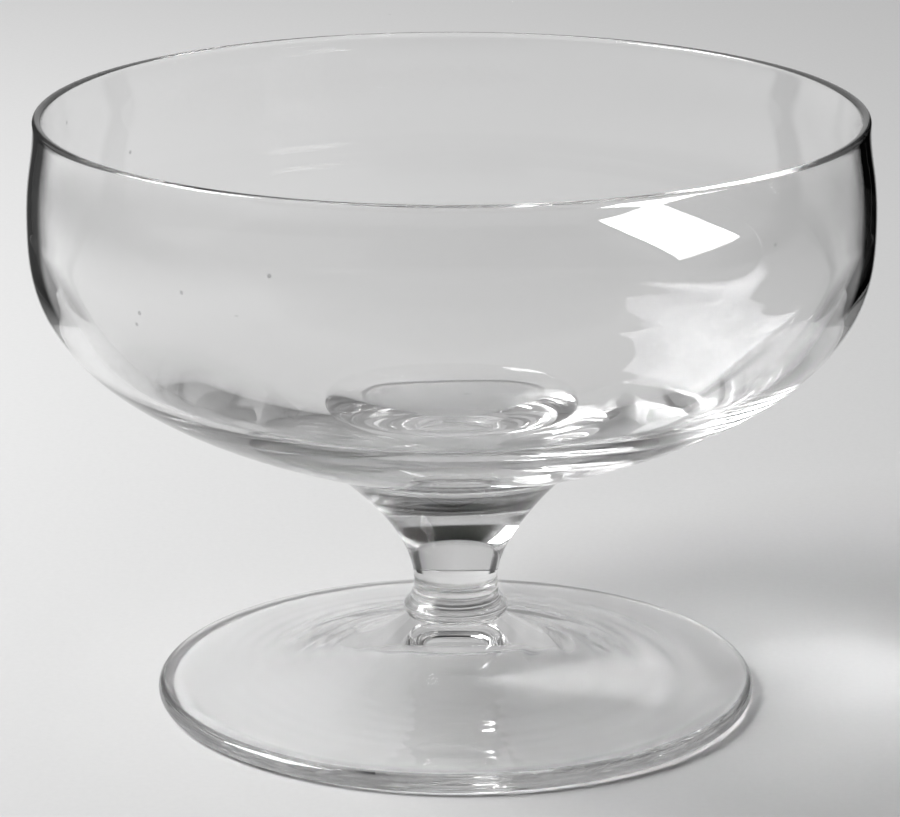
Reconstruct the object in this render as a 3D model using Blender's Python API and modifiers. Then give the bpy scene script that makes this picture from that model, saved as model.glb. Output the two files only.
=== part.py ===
"""Sherbet glass: a wide, low dessert bowl on a short drawn stem and a round foot.

Three gathers of clear glass are sealed to each other while hot: a blown bowl, a stem with a
flared seat above and a collar below, and a cast foot. All sizes are in metres. The origin is
the middle of the foot where it stands, with +Z up.
"""

import math

import bmesh
import bpy
from mathutils import Vector

# Seals: the narrow space left between two sealed faces
SEAL_GAP = 0.0003

# Bowl
RIM_DIAMETER = 0.1000
BOWL_HEIGHT = 0.0426        # from the edge of the stem's seat to the lip
BELLY_SWELL = 0.0010        # how far the widest place stands out past the rim
BELLY_DROP = 0.0128         # how far the widest place lies below the lip
RIM_WALL = 0.0011
SIDE_WALL = 0.0014          # at the belly
FLOOR_WALL = 0.0077         # on the axis
BEND_RADIUS = 0.0317        # where the floor turns up into the side
BEND_RISE = 0.0037          # how far the bend lies above the middle of the floor
BEND_SLOPE = math.radians(12.6)
UNDERSIDE_SLOPE = math.radians(17.9)    # at the edge of the seat, where the flare runs on from it
FLOOR_SAG = 0.0023          # how far the underside drops inside the seat

# Stem
STEM_LENGTH = 0.0203        # from the collar's base to the edge of the seat
SEAT_DIAMETER = 0.0332
WAIST_DIAMETER = 0.0103
WAIST_HEIGHT = 0.0044       # above the collar's base
COLLAR_SWELL = 0.0013       # how far the collar stands out past the waist
COLLAR_HEIGHT = 0.0011      # from the collar's base to its widest place
COLLAR_TUCK = 0.0007        # how far the collar draws in again at its base

# Foot
FOOT_DIAMETER = 0.0737
FOOT_RISE = 0.0097          # from the table to the seat of the stem
FOOT_EDGE = 0.0023          # thickness at the rounded edge
SHOULDER_SLOPE = math.radians(37.9)
RING_WIDTH = 0.0026         # the flat ring that the glass stands on
FOOT_HOLLOW = 0.0079        # height of the hollow beneath, on the axis

# Curve handles, as shares of the stretch that each curve spans
RIM_HANDLE = 0.39
BELLY_HANDLE_UP = 0.53
BELLY_HANDLE_DOWN = 0.33
UNDERSIDE_HANDLE = 0.954
WALL_HANDLE = 0.573
BEND_HANDLE_OUT = 0.568
BEND_HANDLE_IN = 0.23
FLOOR_HANDLE = 0.407
SEAT_HANDLE = 0.10
WAIST_HANDLE_UP = 0.441
WAIST_HANDLE_DOWN = 0.72
COLLAR_HANDLE = 0.20
SHOULDER_HANDLE = 0.95
APRON_HANDLE = 0.59
RING_HANDLE = 0.70
ROOF_HANDLE = 0.218
ROUND_HANDLE = 0.5523       # a quarter of an ellipse

# Facets: segments round the axis, then steps along each curve of a section
BOWL_SEGMENTS = 64
STEM_SEGMENTS = 48
FOOT_SEGMENTS = 64
SHOULDER_STEPS = 5
BELLY_STEPS = 15
WALL_STEPS = 11
FLOOR_STEPS = 6
UNDERSIDE_STEPS = 5
LIP_STEPS = 6
FLARE_STEPS = 12
NECK_STEPS = 6
COLLAR_STEPS = 4
APRON_STEPS = 12
EDGE_STEPS = 8
HOLLOW_STEPS = 12

# Glass: colourless soda-lime, fire-polished
GLASS_TINT = (0.980, 0.985, 0.980, 1.0)
GLASS_ROUGHNESS = 0.02
GLASS_IOR = 1.52

# Heights of the seals, from the table up
STEM_BASE = FOOT_RISE + SEAL_GAP
BOWL_BASE = STEM_BASE + STEM_LENGTH + SEAL_GAP

# Radii that two pieces share
SEAT_RADIUS = SEAT_DIAMETER / 2
WAIST_RADIUS = WAIST_DIAMETER / 2
COLLAR_RADIUS = WAIST_RADIUS + COLLAR_SWELL
COLLAR_BASE_RADIUS = COLLAR_RADIUS - COLLAR_TUCK


def clear_scene():
    for old in list(bpy.data.objects):
        bpy.data.objects.remove(old, do_unlink=True)


def cubic(start, start_handle, end_handle, end, steps):
    """Points on a cubic curve, each with the direction of travel there."""
    samples = []
    for i in range(steps + 1):
        t = i / steps
        s = 1.0 - t
        point = start * s**3 + start_handle * 3 * s * s * t + end_handle * 3 * s * t * t + end * t**3
        travel = (start_handle - start) * s * s + (end_handle - start_handle) * 2 * s * t
        travel += (end - end_handle) * t * t
        samples.append((point, travel.normalized()))
    return samples


def points_of(samples):
    return [point for point, travel in samples]


def underside():
    """The bowl's lower face inside the stem's seat, from the seat's edge to the axis.

    Heights are measured from the edge of the seat. The stem's seat repeats this curve.
    """
    edge = Vector((SEAT_RADIUS, 0.0))
    middle = Vector((0.0, -FLOOR_SAG))
    edge_handle = edge - Vector((1.0, math.tan(UNDERSIDE_SLOPE))) * SEAT_RADIUS / 3
    middle_handle = middle + Vector((SEAT_RADIUS / 3, 0.0))
    return cubic(edge, edge_handle, middle_handle, middle, UNDERSIDE_STEPS)


def bowl_profile():
    """Half section of the bowl: up its inside, over the lip and down its outside."""
    lip_radius = RIM_WALL / 2
    rim = Vector((RIM_DIAMETER / 2, BOWL_HEIGHT - lip_radius))
    belly = Vector((RIM_DIAMETER / 2 + BELLY_SWELL, BOWL_HEIGHT - BELLY_DROP))
    seat = Vector((SEAT_RADIUS, 0.0))

    up = Vector((0.0, 1.0))
    out = Vector((1.0, 0.0))
    shoulder = rim.y - belly.y
    reach = belly.x - seat.x
    flank = Vector((1.0, math.tan(UNDERSIDE_SLOPE)))
    outside = cubic(
        rim,
        rim - up * shoulder * RIM_HANDLE,
        belly + up * shoulder * BELLY_HANDLE_UP,
        belly,
        SHOULDER_STEPS,
    )
    inside = []
    for point, travel in outside:
        share = (rim.y - point.y) / shoulder
        inward = Vector((travel.y, -travel.x))
        inside.append(point + inward * (RIM_WALL + (SIDE_WALL - RIM_WALL) * share))
    belly_inside = inside[-1]
    floor = Vector((0.0, FLOOR_WALL - FLOOR_SAG))
    bend = floor + Vector((BEND_RADIUS, BEND_RISE))
    turn = Vector((1.0, math.tan(BEND_SLOPE)))
    inside += points_of(cubic(
        belly_inside,
        belly_inside - up * (belly_inside.y - bend.y) * WALL_HANDLE,
        bend + turn * (belly_inside.x - bend.x) * BEND_HANDLE_OUT,
        bend,
        WALL_STEPS,
    ))[1:]
    inside += points_of(cubic(
        bend,
        bend - turn * BEND_RADIUS * BEND_HANDLE_IN,
        floor + out * BEND_RADIUS * FLOOR_HANDLE,
        floor,
        FLOOR_STEPS,
    ))[1:]
    outside += cubic(
        belly,
        belly - up * belly.y * BELLY_HANDLE_DOWN,
        seat + flank * reach * UNDERSIDE_HANDLE,
        seat,
        BELLY_STEPS,
    )[1:]
    outside += underside()[1:]

    lip_centre = rim - Vector((lip_radius, 0.0))
    lip = []
    for i in range(1, LIP_STEPS):
        angle = math.pi * (1.0 - i / LIP_STEPS)
        lip.append(lip_centre + Vector((math.cos(angle), math.sin(angle))) * lip_radius)
    return inside[::-1] + lip + points_of(outside)


def stem_profile():
    """Half section of the stem: the seat, the flare, the waist and the collar."""
    seat_drop = Vector((0.0, STEM_LENGTH))
    seat_face = [point + seat_drop for point in points_of(underside())]
    seat = seat_face[0]
    waist = Vector((WAIST_RADIUS, WAIST_HEIGHT))
    collar = Vector((COLLAR_RADIUS, COLLAR_HEIGHT))
    base = Vector((COLLAR_BASE_RADIUS, 0.0))

    up = Vector((0.0, 1.0))
    out = Vector((1.0, 0.0))
    flare = Vector((1.0, math.tan(UNDERSIDE_SLOPE))) * (seat.x - waist.x) * SEAT_HANDLE
    waist_handle = waist + up * (seat.y - waist.y) * WAIST_HANDLE_UP
    outside = points_of(cubic(seat, seat - flare, waist_handle, waist, FLARE_STEPS))
    neck = up * (waist.y - collar.y)
    neck_handle = waist - neck * WAIST_HANDLE_DOWN
    collar_handle = collar + neck * COLLAR_HANDLE
    outside += points_of(cubic(waist, neck_handle, collar_handle, collar, NECK_STEPS))[1:]
    outside += points_of(cubic(
        collar,
        collar - up * COLLAR_HEIGHT * ROUND_HANDLE,
        base + out * COLLAR_TUCK * ROUND_HANDLE,
        base,
        COLLAR_STEPS,
    ))[1:]
    return seat_face[::-1] + outside[1:] + [Vector((0.0, 0.0))]


def foot_profile():
    """Half section of the foot: the seat of the stem, the shoulder, the edge and the hollow."""
    edge_radius = FOOT_EDGE / 2
    seat = Vector((COLLAR_BASE_RADIUS, FOOT_RISE))
    apron = Vector((FOOT_DIAMETER / 2 - edge_radius, FOOT_EDGE))
    ring = Vector((apron.x - RING_WIDTH, 0.0))
    roof = Vector((0.0, FOOT_HOLLOW))

    out = Vector((1.0, 0.0))
    reach = apron.x - seat.x
    fall = Vector((1.0, -math.tan(SHOULDER_SLOPE))) * (seat.y - apron.y) / math.tan(SHOULDER_SLOPE)
    apron_handle = apron - out * reach * APRON_HANDLE
    top = points_of(cubic(seat, seat + fall * SHOULDER_HANDLE, apron_handle, apron, APRON_STEPS))
    edge_centre = Vector((apron.x, edge_radius))
    edge = []
    for i in range(1, EDGE_STEPS):
        angle = math.pi * (0.5 - i / EDGE_STEPS)
        edge.append(edge_centre + Vector((math.cos(angle), math.sin(angle))) * edge_radius)
    ring_handle = ring - out * ring.x * RING_HANDLE
    roof_handle = roof + out * ring.x * ROOF_HANDLE
    hollow = points_of(cubic(ring, ring_handle, roof_handle, roof, HOLLOW_STEPS))
    return [Vector((0.0, FOOT_RISE))] + top + edge + [Vector((apron.x, 0.0))] + hollow


def glass(name):
    """Clear, colourless soda-lime glass with a fire-polished skin."""
    material = bpy.data.materials.new(name)
    material.use_nodes = True
    shader = material.node_tree.nodes["Principled BSDF"]
    shader.inputs["Base Color"].default_value = GLASS_TINT
    shader.inputs["Metallic"].default_value = 0.0
    shader.inputs["Roughness"].default_value = GLASS_ROUGHNESS
    shader.inputs["IOR"].default_value = GLASS_IOR
    shader.inputs["Transmission Weight"].default_value = 1.0
    return material


def turned(name, profile, segments, height, material, collection, parent):
    """A solid of glass turned about the upright axis from its half section."""
    mesh = bpy.data.meshes.new(name)
    section = bmesh.new()
    corners = [section.verts.new((point.x, 0.0, point.y)) for point in profile]
    for above, below in zip(corners, corners[1:]):
        section.edges.new((above, below))
    section.to_mesh(mesh)
    section.free()
    mesh.materials.append(material)

    piece = bpy.data.objects.new(name, mesh)
    collection.objects.link(piece)
    piece.parent = parent
    piece.location = (0.0, 0.0, height)

    screw = piece.modifiers.new("turn", "SCREW")
    screw.axis = "Z"
    screw.angle = 2 * math.pi
    screw.steps = segments
    screw.render_steps = segments
    screw.use_merge_vertices = True
    screw.merge_threshold = 0.00001
    screw.use_smooth_shade = True
    return piece


def build():
    clear_scene()
    collection = bpy.data.collections.new("sherbet_glass")
    bpy.context.scene.collection.children.link(collection)
    table_centre = bpy.data.objects.new("table_centre", None)
    collection.objects.link(table_centre)

    blown = glass("blown_glass")
    drawn = glass("drawn_glass")
    cast = glass("cast_glass")
    turned("foot", foot_profile(), FOOT_SEGMENTS, 0.0, cast, collection, table_centre)
    turned("stem", stem_profile(), STEM_SEGMENTS, STEM_BASE, drawn, collection, table_centre)
    turned("bowl", bowl_profile(), BOWL_SEGMENTS, BOWL_BASE, blown, collection, table_centre)
    bpy.context.view_layer.update()


build()
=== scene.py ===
"""The looks of the sherbet glass: clear hot-worked glass on a pale studio table.

Three pieces of glass stand where the part's bowl, stem and foot stand. Each is turned about the
upright axis from a half section, whose points are a radius and a height. Where two pieces are
sealed, their faces lie a hair's breadth apart and bend no light, as in glass that was joined while
hot. Sizes are in metres.
"""

import math

import bpy
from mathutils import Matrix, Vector


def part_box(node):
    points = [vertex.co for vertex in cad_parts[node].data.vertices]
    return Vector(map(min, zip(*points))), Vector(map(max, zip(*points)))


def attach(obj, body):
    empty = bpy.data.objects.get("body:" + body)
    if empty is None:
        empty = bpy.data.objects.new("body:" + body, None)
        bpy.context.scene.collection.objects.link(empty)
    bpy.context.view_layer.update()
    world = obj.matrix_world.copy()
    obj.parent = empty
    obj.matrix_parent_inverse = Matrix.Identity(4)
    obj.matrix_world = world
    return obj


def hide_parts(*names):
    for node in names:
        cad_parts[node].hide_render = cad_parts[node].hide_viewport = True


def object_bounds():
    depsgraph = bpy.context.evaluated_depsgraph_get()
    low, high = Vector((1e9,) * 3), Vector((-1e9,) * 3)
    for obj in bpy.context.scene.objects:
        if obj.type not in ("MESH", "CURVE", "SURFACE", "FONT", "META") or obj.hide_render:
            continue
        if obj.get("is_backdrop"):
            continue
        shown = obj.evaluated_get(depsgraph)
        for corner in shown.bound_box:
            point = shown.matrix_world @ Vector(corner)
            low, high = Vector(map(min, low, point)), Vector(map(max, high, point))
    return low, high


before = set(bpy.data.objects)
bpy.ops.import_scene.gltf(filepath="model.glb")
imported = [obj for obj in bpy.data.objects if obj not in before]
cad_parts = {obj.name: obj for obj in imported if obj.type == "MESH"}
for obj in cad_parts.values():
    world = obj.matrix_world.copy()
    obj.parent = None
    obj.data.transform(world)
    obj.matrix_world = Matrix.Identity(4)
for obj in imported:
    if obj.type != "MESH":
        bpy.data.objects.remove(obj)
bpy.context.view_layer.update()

MM = 0.001

# Places that the frame gives
bowl_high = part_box("bowl")[1]
stem_low, stem_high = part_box("stem")
foot_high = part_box("foot")[1]
BELLY_RADIUS = bowl_high.x
LIP_TOP = bowl_high.z
SEAT_RADIUS = stem_high.x
SEAT_EDGE = stem_high.z          # where the bowl's underside meets the flare
COLLAR_BASE = stem_low.z         # where the stem stands on the foot
FOOT_RADIUS = foot_high.x

# Bowl
RIM_RADIUS = BELLY_RADIUS - 1.0 * MM
BELLY_HEIGHT = LIP_TOP - 12.8 * MM
RIM_WALL = 1.1 * MM
SIDE_WALL = 1.4 * MM
FLOOR_WALL = 6.5 * MM            # on the axis
BEND_RADIUS = 31.7 * MM          # where the inside turns up from the floor
BEND_RISE = 5.2 * MM
BEND_SLOPE = math.tan(math.radians(12.6))
UNDERSIDE_SLOPE = math.tan(math.radians(17.9))
FLOOR_SAG = 2.3 * MM             # of the underside, within the stem's seat

# Stem
WAIST_RADIUS = 5.15 * MM
WAIST_HEIGHT = COLLAR_BASE + 4.35 * MM
COLLAR_RADIUS = 6.45 * MM
COLLAR_HEIGHT = COLLAR_BASE + 1.1 * MM
COLLAR_BASE_RADIUS = 5.75 * MM
STEM_LEAN = 0.5 * MM             # how far aside of the bowl's axis the stem has run
LEAN_DROP = 9.0 * MM             # the height over which it does

# Foot
FOOT_EDGE = 2.3 * MM
SHOULDER_SLOPE = math.tan(math.radians(37.9))
RING_WIDTH = 2.6 * MM
FOOT_HOLLOW = 7.0 * MM

# Seals: a hair's breadth, so that each piece stays a closed body of its own
SEAM = 0.02 * MM

# How far each curve holds the direction of its ends, as a share of its own stretch
RIM_DOWN, BELLY_UP = 0.39, 0.53
BELLY_DOWN, UNDERSIDE_OUT = 0.33, 0.954
INSIDE_DOWN, BEND_OUT = 0.573, 0.568
BEND_IN, FLOOR_OUT = 0.40, 0.20
SEAL_HOLD = 1 / 3
FLARE_IN, WAIST_UP = 0.10, 0.441
WAIST_DOWN, COLLAR_UP = 0.72, 0.20
COLLAR_ROUND = 0.55
SHOULDER_OUT = 0.85
APRON_IN, APRON_UP = 0.59, 0.06
HOLLOW_IN, HOLLOW_UP = 0.75, 0.04
ROOF_OUT = 0.30

# Waves in the foot's two faces
SWIRL_PITCH, SWIRL_WANDER, SWIRL_START = 7.2 * MM, 0.7, 0.7
RING_PITCH, RING_WANDER, RING_START = 4.7 * MM, 0.9, 1.9
FINE_PITCH, FINE_WANDER, FINE_START = 2.4 * MM, 2.0, 1.0
SWIRL_ABOVE = 0.08 * MM
FINE_ABOVE = 0.008 * MM
SWIRL_BELOW = 0.008 * MM
MORE, LESS = 0.6, 0.4            # the shares of two waves that run into each other
EVEN_PART, UNEVEN_PART = 0.55, 0.45
DEEPEST_TURN = 0.2               # radians from the right, towards the back
WAVES_START, WAVES_FULL = 8 * MM, 12 * MM
WAVES_FADE, WAVES_END = 0.72 * FOOT_RADIUS, 0.94 * FOOT_RADIUS
RING_CLEAR, RING_FREE = 0.1 * MM, 0.8 * MM

# Facets
SEGMENTS = 256
SEAL_STEPS = 24
LIP_STEPS = 16
SHOULDER_STEPS = 24
SIDE_STEPS = 72
FLOOR_STEPS = 48
FLARE_STEPS = 48
NECK_STEPS = 20
COLLAR_STEPS = 14
FOOT_STEPS = 96
EDGE_STEPS = 24
CREASE = math.radians(35)

# Glass
OPEN_IOR = 1.52
SEALED_IOR = 1.0005
CORD_WIDTH, CORD_DEPTH = 9 * MM, 0.004 * MM

# Table paper
FIBRE_LENGTH, FIBRE_DEPTH = 0.8 * MM, 0.01 * MM
# Where the paper's painted shade near the front turns into painted light far off
PAINTED_SHADE_NEAR, PAINTED_LIGHT_FAR = -0.10, 0.50
PAPER_SIDE, PAPER_SIDE_END = 0.16, 0.46
PAPER_FRONT, PAPER_FRONT_END = -0.14, -0.44
PAPER_SIZE = 6.0
PAPER_DROP = 0.2 * MM

# Camera
CAMERA_PLACE = Vector((-0.0002, -0.48073, 0.17476))
CAMERA_PITCH = math.radians(16.09)
CAMERA_LENS = 164.04

# Light
GLASS_BOUNCES = 64               # enough to pass every wall of the glass
CLEAR_BOUNCES = 32
PAPER_BOUNCES = 4

UP = Vector((0.0, 1.0))
OUT = Vector((1.0, 0.0))


# Shapes

def cubic(start, start_handle, end_handle, end, steps):
    """Points on a cubic curve, each with the direction of travel there."""
    samples = []
    for i in range(steps + 1):
        t = i / steps
        s = 1.0 - t
        point = start * s**3 + start_handle * 3 * s * s * t + end_handle * 3 * s * t * t + end * t**3
        travel = (start_handle - start) * s * s + (end_handle - start_handle) * 2 * s * t
        travel += (end - end_handle) * t * t
        samples.append((point, travel.normalized()))
    return samples


def points_of(samples):
    return [point for point, travel in samples]


def arc(centre, radius, start, end, steps):
    """Points on a round edge, without its two ends."""
    turns = [start + (end - start) * i / steps for i in range(1, steps)]
    return [centre + Vector((math.cos(turn), math.sin(turn))) * radius for turn in turns]


def seal_under_bowl():
    """The bowl's lower face inside the stem's seat, from the seat's edge to the axis."""
    edge = Vector((SEAT_RADIUS, SEAT_EDGE))
    middle = Vector((0.0, SEAT_EDGE - FLOOR_SAG))
    hold = SEAT_RADIUS * SEAL_HOLD
    edge_handle = edge - Vector((1.0, UNDERSIDE_SLOPE)) * hold
    return cubic(edge, edge_handle, middle + OUT * hold, middle, SEAL_STEPS)


def bowl_section():
    """The bowl from its floor up the inside, over the lip and down to its underside.

    Like the other sections, it comes with the stretches between points that are sealed.
    """
    lip_radius = RIM_WALL / 2
    rim = Vector((RIM_RADIUS, LIP_TOP - lip_radius))
    belly = Vector((BELLY_RADIUS, BELLY_HEIGHT))
    seat = Vector((SEAT_RADIUS, SEAT_EDGE))
    floor = Vector((0.0, SEAT_EDGE - FLOOR_SAG + FLOOR_WALL))
    bend = floor + Vector((BEND_RADIUS, BEND_RISE))
    run = Vector((1.0, BEND_SLOPE))
    shoulder = rim.y - belly.y
    outside = cubic(
        rim,
        rim - UP * shoulder * RIM_DOWN,
        belly + UP * shoulder * BELLY_UP,
        belly,
        SHOULDER_STEPS,
    )
    inside = []
    for point, travel in outside:
        wall = RIM_WALL + (SIDE_WALL - RIM_WALL) * (rim.y - point.y) / shoulder
        inside.append(point + Vector((travel.y, -travel.x)) * wall)
    belly_inside = inside[-1]
    inside += points_of(cubic(
        belly_inside,
        belly_inside - UP * (belly_inside.y - bend.y) * INSIDE_DOWN,
        bend + run * (belly_inside.x - bend.x) * BEND_OUT,
        bend,
        SIDE_STEPS,
    ))[1:]
    inside += points_of(cubic(
        bend,
        bend - run * bend.x * BEND_IN,
        floor + OUT * bend.x * FLOOR_OUT,
        floor,
        FLOOR_STEPS,
    ))[1:]
    outside += cubic(
        belly,
        belly - UP * (belly.y - seat.y) * BELLY_DOWN,
        seat + Vector((1.0, UNDERSIDE_SLOPE)) * (belly.x - seat.x) * UNDERSIDE_OUT,
        seat,
        SIDE_STEPS,
    )[1:]
    section = inside[::-1] + arc(rim - OUT * lip_radius, lip_radius, math.pi, 0.0, LIP_STEPS)
    sealed_from = len(section) + len(outside) - 1
    section += points_of(outside + seal_under_bowl()[1:])
    return section, range(sealed_from, len(section) - 1)


def stem_section():
    """The stem from the middle of its seat, down the flare and waist, to its collar's base."""
    seat_face = [point - UP * SEAM for point in points_of(seal_under_bowl())]
    seat = seat_face[0]
    waist = Vector((WAIST_RADIUS, WAIST_HEIGHT))
    collar = Vector((COLLAR_RADIUS, COLLAR_HEIGHT))
    base = Vector((COLLAR_BASE_RADIUS, COLLAR_BASE))
    neck = UP * (waist.y - collar.y)
    outside = points_of(cubic(
        seat,
        seat - Vector((1.0, UNDERSIDE_SLOPE)) * (seat.x - waist.x) * FLARE_IN,
        waist + UP * (seat.y - waist.y) * WAIST_UP,
        waist,
        FLARE_STEPS,
    ))
    outside += points_of(cubic(
        waist,
        waist - neck * WAIST_DOWN,
        collar + neck * COLLAR_UP,
        collar,
        NECK_STEPS,
    ))[1:]
    outside += points_of(cubic(
        collar,
        collar - UP * (collar.y - base.y) * COLLAR_ROUND,
        base + OUT * (collar.x - base.x) * COLLAR_ROUND,
        base,
        COLLAR_STEPS,
    ))[1:]
    section = seat_face[::-1] + outside[1:]
    base_from = len(section) - 1
    section.append(Vector((0.0, COLLAR_BASE)))
    return section, list(range(len(seat_face) - 1)) + [base_from]


def foot_section():
    """The foot from the middle of its top, over the rounded edge, to the roof of its hollow."""
    edge_radius = FOOT_EDGE / 2
    seat = Vector((COLLAR_BASE_RADIUS, COLLAR_BASE - SEAM))
    apron = Vector((FOOT_RADIUS - edge_radius, FOOT_EDGE))
    ring = Vector((apron.x - RING_WIDTH, 0.0))
    roof = Vector((0.0, FOOT_HOLLOW))
    fall = Vector((1.0, -SHOULDER_SLOPE)) * (seat.y - apron.y) / SHOULDER_SLOPE
    top = points_of(cubic(
        seat,
        seat + fall * SHOULDER_OUT,
        apron + Vector((-APRON_IN, APRON_UP)) * (apron.x - seat.x),
        apron,
        FOOT_STEPS,
    ))
    edge = arc(Vector((apron.x, edge_radius)), edge_radius, math.pi / 2, -math.pi / 2, EDGE_STEPS)
    hollow = points_of(cubic(
        ring,
        ring + Vector((-HOLLOW_IN, HOLLOW_UP)) * ring.x,
        roof + OUT * ring.x * ROOF_OUT,
        roof,
        FOOT_STEPS,
    ))
    section = [Vector((0.0, seat.y))] + top + edge + [Vector((apron.x, 0.0))] + hollow
    return section, [0]


def rise(start, end, value):
    """Goes smoothly from 0 at start to 1 at end."""
    share = min(max((value - start) / (end - start), 0.0), 1.0)
    return share * share * (3 - 2 * share)


def lean(height):
    """How far the hand-drawn stem has run aside of the bowl's axis at a height."""
    return STEM_LEAN * rise(SEAT_EDGE, SEAT_EDGE - LEAN_DROP, height)


def foot_waves(point, normal, turn):
    """Waves that the tools left as they spun the foot out: rings that run into a slow swirl."""
    radius = point.x
    within = rise(WAVES_START, WAVES_FULL, radius) * rise(WAVES_END, WAVES_FADE, radius)
    uneven = (EVEN_PART + UNEVEN_PART * math.cos(turn - DEEPEST_TURN)) ** 2
    swirl_aside = turn + SWIRL_WANDER * math.sin(2 * turn + SWIRL_START)
    swirl = math.sin(2 * math.pi * radius / SWIRL_PITCH + swirl_aside)
    rings = math.sin(2 * math.pi * radius / RING_PITCH + RING_WANDER * math.sin(turn + RING_START))
    if normal.y > 0:
        fine_aside = FINE_WANDER * math.sin(2 * turn + FINE_START)
        fine = math.sin(2 * math.pi * radius / FINE_PITCH + fine_aside)
        return within * (SWIRL_ABOVE * uneven * (MORE * swirl + LESS * rings) + FINE_ABOVE * fine)
    clear_of_table = rise(RING_CLEAR, RING_FREE, point.y)
    return SWIRL_BELOW * within * clear_of_table * uneven * (MORE * rings - LESS * swirl)


def turned(name, section, sealed, skin, waves=None):
    """A closed solid turned from a half section that starts and ends on the axis."""
    points = []
    rings = []
    for i, point in enumerate(section):
        if i in (0, len(section) - 1):
            rings.append([len(points)] * SEGMENTS)
            points.append((lean(point.y), 0.0, point.y))
            continue
        rings.append(list(range(len(points), len(points) + SEGMENTS)))
        travel = (section[i + 1] - section[i - 1]).normalized()
        normal = Vector((-travel.y, travel.x))
        for k in range(SEGMENTS):
            turn = 2 * math.pi * k / SEGMENTS
            place = point + normal * waves(point, normal, turn) if waves else point
            points.append((place.x * math.cos(turn) + lean(place.y), place.x * math.sin(turn), place.y))
    faces = []
    seals = []
    for i in range(len(section) - 1):
        above, below = rings[i], rings[i + 1]
        for k in range(SEGMENTS):
            n = (k + 1) % SEGMENTS
            corners = [above[k], below[k], below[n], above[n]]
            faces.append(list(dict.fromkeys(corners)))
            seals.append(1.0 if i in sealed else 0.0)
    mesh = bpy.data.meshes.new(name)
    mesh.from_pydata(points, [], faces)
    mesh.materials.append(skin)
    mesh.attributes.new("sealed", "FLOAT", "FACE").data.foreach_set("value", seals)
    mesh.shade_smooth()
    mesh.set_sharp_from_angle(angle=CREASE)
    mesh.update()
    piece = bpy.data.objects.new(name, mesh)
    bpy.context.scene.collection.objects.link(piece)
    return piece


# Materials

def linear(hexcode):
    """An sRGB hex colour as linear RGBA."""
    parts = [int(hexcode[i:i + 2], 16) / 255 for i in (0, 2, 4)]
    return (*[c / 12.92 if c <= 0.04045 else ((c + 0.055) / 1.055) ** 2.4 for c in parts], 1.0)


def add(tree, kind, settings=None, links=None):
    """Adds a node, sets its properties or sockets and links its inputs."""
    node = tree.nodes.new(kind)
    for name, value in (settings or {}).items():
        if isinstance(name, int) or name in node.inputs:
            node.inputs[name].default_value = value
        else:
            setattr(node, name, value)
    for name, source in (links or {}).items():
        tree.links.new(source, node.inputs[name])
    return node


def new_material(name):
    material = bpy.data.materials.new(name)
    material.use_nodes = True
    material.node_tree.nodes.clear()
    return material, material.node_tree


def specks(tree, spacing, width, share):
    """A mask of grains of dust: their spacing, their width, and the share of places that hold one.

    The grains are drawn wider than real dust, so that they show.
    """
    place = add(tree, "ShaderNodeTexCoord")
    cells = add(tree, "ShaderNodeTexVoronoi", {"Scale": 1 / spacing}, {"Vector": place.outputs["Object"]})
    chance = add(tree, "ShaderNodeSeparateColor", links={0: cells.outputs["Color"]})
    held = add(tree, "ShaderNodeMath", {"operation": "LESS_THAN", 1: share}, {0: chance.outputs["Red"]})
    grain = add(tree, "ShaderNodeMapRange", {
        "interpolation_type": "SMOOTHSTEP",
        "From Min": width / spacing / 2,
        "From Max": width / spacing / 4,
    }, {"Value": cells.outputs["Distance"]})
    mask = add(tree, "ShaderNodeMath", {"operation": "MULTIPLY"}, {0: grain.outputs[0], 1: held.outputs[0]})
    return mask.outputs[0]


def blown_soda_lime_glass(name, skin):
    """Clear soda-lime glass, blown and worked by hand.

    Its melt is nearly colourless, so edges seen end on go grey and the walls stay clear. Faint
    cords from the gather make straight reflections waver, and a few grains of dust lie on it.
    """
    material, tree = new_material(name)
    place = add(tree, "ShaderNodeTexCoord")
    cords = add(tree, "ShaderNodeTexNoise", {
        "Scale": 1 / CORD_WIDTH,
        "Detail": 1.0,
    }, {"Vector": place.outputs["Object"]})
    waver = add(tree, "ShaderNodeBump", {
        "Strength": 1.0,
        "Distance": CORD_DEPTH,
    }, {"Height": cords.outputs["Fac"]})
    dust = specks(tree, spacing=7 * MM, width=0.7 * MM, share=0.25)
    tone = add(tree, "ShaderNodeMix", {
        "data_type": "RGBA",
        "A": linear(skin),
        "B": linear("b4b4b4"),
    }, {"Factor": dust})
    seal = add(tree, "ShaderNodeAttribute", {"attribute_name": "sealed"})
    bending = add(tree, "ShaderNodeMath", {
        "operation": "MULTIPLY_ADD",
        1: SEALED_IOR - OPEN_IOR,
        2: OPEN_IOR,
    }, {0: seal.outputs["Fac"]})
    face = add(tree, "ShaderNodeBsdfPrincipled", {
        "Roughness": 0.0,
        "Transmission Weight": 1.0,
    }, {
        "Base Color": tone.outputs["Result"],
        "Normal": waver.outputs["Normal"],
        "IOR": bending.outputs[0],
    })
    melt = add(tree, "ShaderNodeVolumeAbsorption", {"Color": linear("bcbcbc"), "Density": 10.0})
    add(tree, "ShaderNodeOutputMaterial", links={
        "Surface": face.outputs["BSDF"],
        "Volume": melt.outputs["Volume"],
    })
    return material


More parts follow.
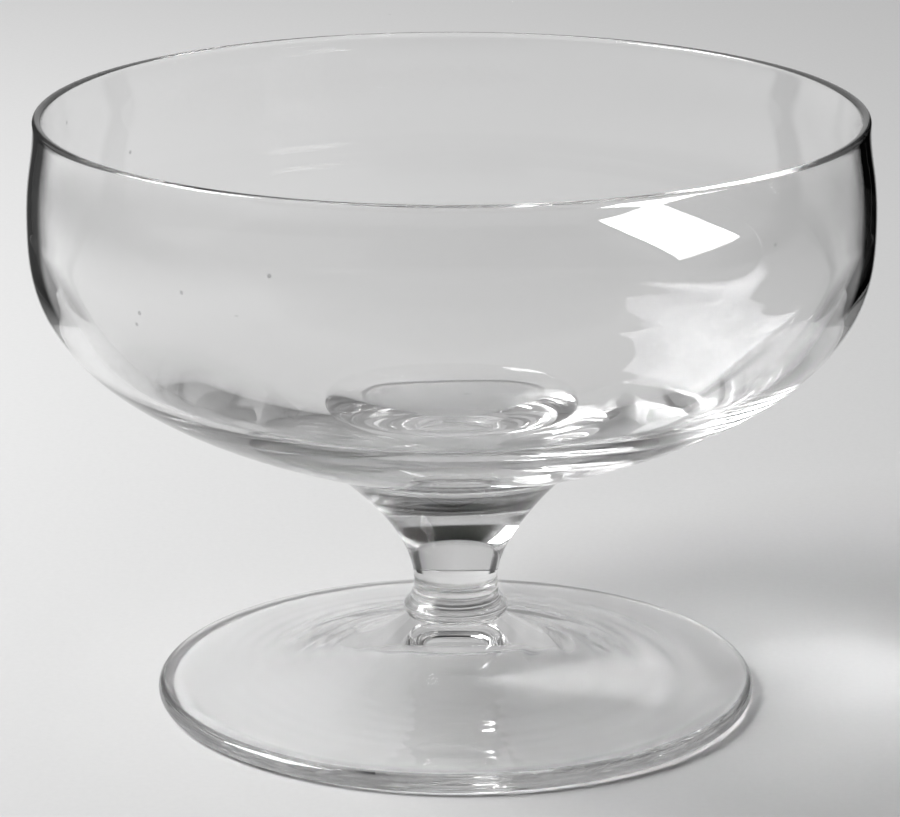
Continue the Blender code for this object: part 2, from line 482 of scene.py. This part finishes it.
def matt_wove_paper(name, shaded_near, far, aside):
    """Matt white wove paper, pressed smooth.

    It scatters light evenly with no shine. Its short fibres mottle the tone a little, and a few
    grains of dust lie on it. The fibres are drawn coarser than real ones, so that they show. Its
    tone is painted shade near the front and painted light far off, standing in for how the light
    falls across the table. What the glass shows of its sides and front is dark.
    """
    material, tree = new_material(name)
    place = add(tree, "ShaderNodeTexCoord")
    across = add(tree, "ShaderNodeSeparateXYZ", links={0: place.outputs["Object"]})
    # Painted light and shade: the tone runs from darker near the front to paler far off, in place of the
    # light's falloff
    painted_falloff = add(tree, "ShaderNodeMapRange", {
        "From Min": PAINTED_SHADE_NEAR,
        "From Max": PAINTED_LIGHT_FAR,
    }, {"Value": across.outputs["Y"]})
    tone = add(tree, "ShaderNodeMix", {
        "data_type": "RGBA",
        "A": linear(shaded_near),
        "B": linear(far),
    }, {"Factor": painted_falloff.outputs[0]})
    sideways = add(tree, "ShaderNodeMath", {"operation": "ABSOLUTE"}, {0: across.outputs["X"]})
    side = add(tree, "ShaderNodeMapRange", {
        "interpolation_type": "SMOOTHSTEP",
        "From Min": PAPER_SIDE,
        "From Max": PAPER_SIDE_END,
    }, {"Value": sideways.outputs[0]})
    front = add(tree, "ShaderNodeMapRange", {
        "interpolation_type": "SMOOTHSTEP",
        "From Min": PAPER_FRONT,
        "From Max": PAPER_FRONT_END,
    }, {"Value": across.outputs["Y"]})
    off = add(tree, "ShaderNodeMath", {"operation": "MAXIMUM"}, {0: side.outputs[0], 1: front.outputs[0]})
    rays = add(tree, "ShaderNodeLightPath")
    in_glass = add(tree, "ShaderNodeMath", {
        "operation": "SUBTRACT",
        0: 1.0,
    }, {1: rays.outputs["Is Camera Ray"]})
    dim = add(tree, "ShaderNodeMath", {"operation": "MULTIPLY"}, {0: off.outputs[0], 1: in_glass.outputs[0]})
    paper = add(tree, "ShaderNodeMix", {
        "data_type": "RGBA",
        "B": linear(aside),
    }, {"Factor": dim.outputs[0], "A": tone.outputs["Result"]})
    fibres = add(tree, "ShaderNodeTexNoise", {
        "Scale": 1 / FIBRE_LENGTH,
        "Detail": 3.0,
    }, {"Vector": place.outputs["Object"]})
    mottle = add(tree, "ShaderNodeMapRange", {
        "To Min": 0.97,
        "To Max": 1.03,
    }, {"Value": fibres.outputs["Fac"]})
    grains = specks(tree, spacing=16 * MM, width=0.9 * MM, share=0.2)
    dust = add(tree, "ShaderNodeMath", {"operation": "MULTIPLY", 1: 0.15}, {0: grains})
    clean = add(tree, "ShaderNodeMath", {"operation": "SUBTRACT"}, {0: mottle.outputs[0], 1: dust.outputs[0]})
    colour = add(tree, "ShaderNodeVectorMath", {"operation": "SCALE"}, {
        0: paper.outputs["Result"],
        "Scale": clean.outputs[0],
    })
    felt = add(tree, "ShaderNodeBump", {
        "Strength": 0.3,
        "Distance": FIBRE_DEPTH,
    }, {"Height": fibres.outputs["Fac"]})
    face = add(tree, "ShaderNodeBsdfPrincipled", {
        "Roughness": 0.8,
        "Specular IOR Level": 0.1,
    }, {"Base Color": colour.outputs["Vector"], "Normal": felt.outputs["Normal"]})
    add(tree, "ShaderNodeOutputMaterial", links={"Surface": face.outputs["BSDF"]})
    return material


def past_paper(tree):
    """1 for rays that have met the table, which see neither the cards nor the room's walls."""
    rays = add(tree, "ShaderNodeLightPath")
    return add(tree, "ShaderNodeMath", {
        "operation": "GREATER_THAN",
        1: 0.5,
    }, {0: rays.outputs["Diffuse Depth"]})


def studio_card(name, colour, fade):
    """A card that the eye meets in the glass, fading out over a share of its width and height.

    Light on its way to the table passes it by.
    """
    material, tree = new_material(name)
    passing = past_paper(tree)
    place = add(tree, "ShaderNodeTexCoord")
    across = add(tree, "ShaderNodeSeparateXYZ", links={0: place.outputs["Generated"]})
    for axis in ("X", "Y"):
        offset = add(tree, "ShaderNodeMath", {"operation": "SUBTRACT", 1: 0.5}, {0: across.outputs[axis]})
        aside = add(tree, "ShaderNodeMath", {"operation": "ABSOLUTE"}, {0: offset.outputs[0]})
        edge = add(tree, "ShaderNodeMapRange", {
            "interpolation_type": "SMOOTHSTEP",
            "From Min": 0.5 - fade,
            "From Max": 0.5,
        }, {"Value": aside.outputs[0]})
        passing = add(tree, "ShaderNodeMath", {"operation": "MAXIMUM"}, {
            0: passing.outputs[0],
            1: edge.outputs[0],
        })
    face = add(tree, "ShaderNodeEmission", {"Color": linear(colour), "Strength": 1.0})
    gone = add(tree, "ShaderNodeBsdfTransparent", {"Color": linear("ffffff")})
    shader = add(tree, "ShaderNodeMixShader", links={
        0: passing.outputs[0],
        1: face.outputs["Emission"],
        2: gone.outputs["BSDF"],
    })
    add(tree, "ShaderNodeOutputMaterial", links={"Surface": shader.outputs["Shader"]})
    return material


# Pieces

for node, section, waves, skin in (
    ("bowl", bowl_section(), None, "fafafa"),
    ("stem", stem_section(), None, "ffffff"),
    ("foot", foot_section(), foot_waves, "ffffff"),
):
    piece = turned(node + "_glass", *section, blown_soda_lime_glass(node + "_clear", skin), waves)
    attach(piece, "root")
    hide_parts(node)


# Stage

BY_ALL = ("camera", "diffuse", "glossy", "transmission", "shadow")
BY_GLASS = ("glossy", "transmission")


def sheet(name, width, height, place, turn, material, seen):
    """A flat rectangle of the stage, and the kinds of ray that see it."""
    mesh = bpy.data.meshes.new(name)
    w, h = width / 2, height / 2
    mesh.from_pydata([(-w, -h, 0), (w, -h, 0), (w, h, 0), (-w, h, 0)], [], [(0, 1, 2, 3)])
    mesh.materials.append(material)
    flat = bpy.data.objects.new(name, mesh)
    flat.location = place
    flat.rotation_euler = turn
    bpy.context.scene.collection.objects.link(flat)
    for kind in BY_ALL:
        setattr(flat, "visible_" + kind, kind in seen)
    flat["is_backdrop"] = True


def standing_card(name, start, end, low, high, material):
    """An upright card from one point of the table to another, seen only in the glass."""
    along = Vector(end) - Vector(start)
    middle = (Vector(start) + Vector(end)) / 2
    place = (middle.x, middle.y, (low + high) / 2)
    turn = (math.pi / 2, 0, math.atan2(along.y, along.x))
    sheet(name, along.length, high - low, place, turn, material, BY_GLASS)


def lamp(name, kind, place, aim, power):
    """A lamp at a place, turned to shine at a point."""
    light = bpy.data.lights.new(name, kind)
    light.energy = power
    stand = bpy.data.objects.new(name, light)
    stand.location = place
    stand.rotation_euler = (Vector(aim) - Vector(place)).to_track_quat("-Z", "Y").to_euler()
    bpy.context.scene.collection.objects.link(stand)
    return stand


# The near colour is painted shade and the far colour is painted light, for how the light falls across the
# table
table_paper = matt_wove_paper("white_table_paper", shaded_near="c0c0c0", far="eeeeee", aside="303030")
sheet("table", PAPER_SIZE, PAPER_SIZE, (0, 0, -PAPER_DROP), (0, 0, 0), table_paper, BY_ALL)
for name, start, end, low, high, card in (
    ("right_flag", (0.070, 0.100), (0.126, 0.080), -0.20, 0.20, ("black_card", "060606", 0.25)),
    ("left_flag", (-0.070, 0.100), (-0.126, 0.080), -0.20, 0.20, ("grey_card", "505050", 0.25)),
    ("camera_side", (-0.40, -0.75), (0.40, -0.75), -0.10, 0.36, ("dark_camera_side", "101010", 0.3)),
):
    standing_card(name, start, end, low, high, studio_card(*card))
overhead_card = studio_card("overhead", "030303", 0.15)
sheet("overhead", 1.50, 0.64, (0.22, 0, 0.80), (0, 0, 0), overhead_card, BY_GLASS)

kicker = lamp("right_kicker", "SPOT", place=(0.30, 0.10, 0.45), aim=(0.046, 0.006, 0), power=3.2)
kicker.data.spot_size = math.radians(3.8)
kicker.data.spot_blend = 1.0

soft_box = lamp("left_soft_box", "AREA", place=(-0.481, -0.0126, 0.47), aim=(0, 0, 0.04), power=6.4)
soft_box.data.shape = "RECTANGLE"
soft_box.data.size = 0.395
soft_box.data.size_y = 0.28
soft_box.visible_camera = False

# Room: walls that the eye meets in the glass, and an even glow that lights the table
world = bpy.data.worlds.new("studio")
bpy.context.scene.world = world
world.use_nodes = True
tree = world.node_tree
tree.nodes.clear()
lighting = past_paper(tree)
view = add(tree, "ShaderNodeTexCoord")
toward = add(tree, "ShaderNodeSeparateXYZ", links={0: view.outputs["Generated"]})
rightward = add(tree, "ShaderNodeMapRange", {
    "From Min": -1.0,
    "From Max": 1.0,
}, {"Value": toward.outputs["X"]})


def wall_tones(stops):
    """The tones of one wall of the room, from the far left to the far right."""
    tones = add(tree, "ShaderNodeValToRGB", links={"Fac": rightward.outputs[0]})
    ramp = tones.color_ramp
    while len(ramp.elements) < len(stops):
        ramp.elements.new(0.5)
    for stop, (place, colour) in zip(ramp.elements, stops):
        stop.position = place
        stop.color = linear(colour)
    return tones.outputs["Color"]


back = wall_tones([
    (0.0, "c0c0c0"),
    (0.32, "c6c6c6"),
    (0.50, "cccccc"),
    (0.62, "c0c0c0"),
    (0.72, "b0b0b0"),
    (0.80, "909090"),
    (0.9, "686868"),
])
front = wall_tones([
    (0.0, "c0c0c0"),
    (0.12, "b0b0b0"),
    (0.35, "9c9c9c"),
    (0.5, "909090"),
    (0.88, "8c8c8c"),
    (1.0, "686868"),
])
backward = add(tree, "ShaderNodeMapRange", {
    "interpolation_type": "SMOOTHSTEP",
    "From Min": -0.4,
    "From Max": 0.4,
}, {"Value": toward.outputs["Y"]})
walls = add(tree, "ShaderNodeMix", {"data_type": "RGBA"}, {
    "Factor": backward.outputs[0],
    "A": front,
    "B": back,
})
floor_line = add(tree, "ShaderNodeMapRange", {
    "From Min": -0.06,
    "From Max": 0.0,
}, {"Value": toward.outputs["Z"]})
whole = add(tree, "ShaderNodeMix", {
    "data_type": "RGBA",
    "A": linear("404040"),
}, {"Factor": floor_line.outputs[0], "B": walls.outputs["Result"]})
room = add(tree, "ShaderNodeBackground", {"Strength": 1.0}, {"Color": whole.outputs["Result"]})
glow = add(tree, "ShaderNodeBackground", {"Color": linear("828282"), "Strength": 1.0})
studio = add(tree, "ShaderNodeMixShader", links={
    0: lighting.outputs[0],
    1: room.outputs["Background"],
    2: glow.outputs["Background"],
})
add(tree, "ShaderNodeOutputWorld", links={"Surface": studio.outputs["Shader"]})

# Camera
lens = bpy.data.cameras.new("photo_lens")
lens.lens = CAMERA_LENS
camera = bpy.data.objects.new("photo_camera", lens)
camera.location = CAMERA_PLACE
camera.rotation_euler = (math.pi / 2 - CAMERA_PITCH, 0, 0)
bpy.context.scene.collection.objects.link(camera)
bpy.context.scene.camera = camera

# Paths of light
scene = bpy.context.scene
scene.view_settings.view_transform = "Standard"
cycles = scene.cycles
cycles.max_bounces = GLASS_BOUNCES
cycles.transmission_bounces = GLASS_BOUNCES
cycles.glossy_bounces = GLASS_BOUNCES
cycles.diffuse_bounces = PAPER_BOUNCES
cycles.transparent_max_bounces = CLEAR_BOUNCES
cycles.caustics_reflective = True
cycles.caustics_refractive = True
cycles.blur_glossy = 0.0
cycles.sample_clamp_indirect = 0.0
cycles.use_denoising = True

low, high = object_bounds()
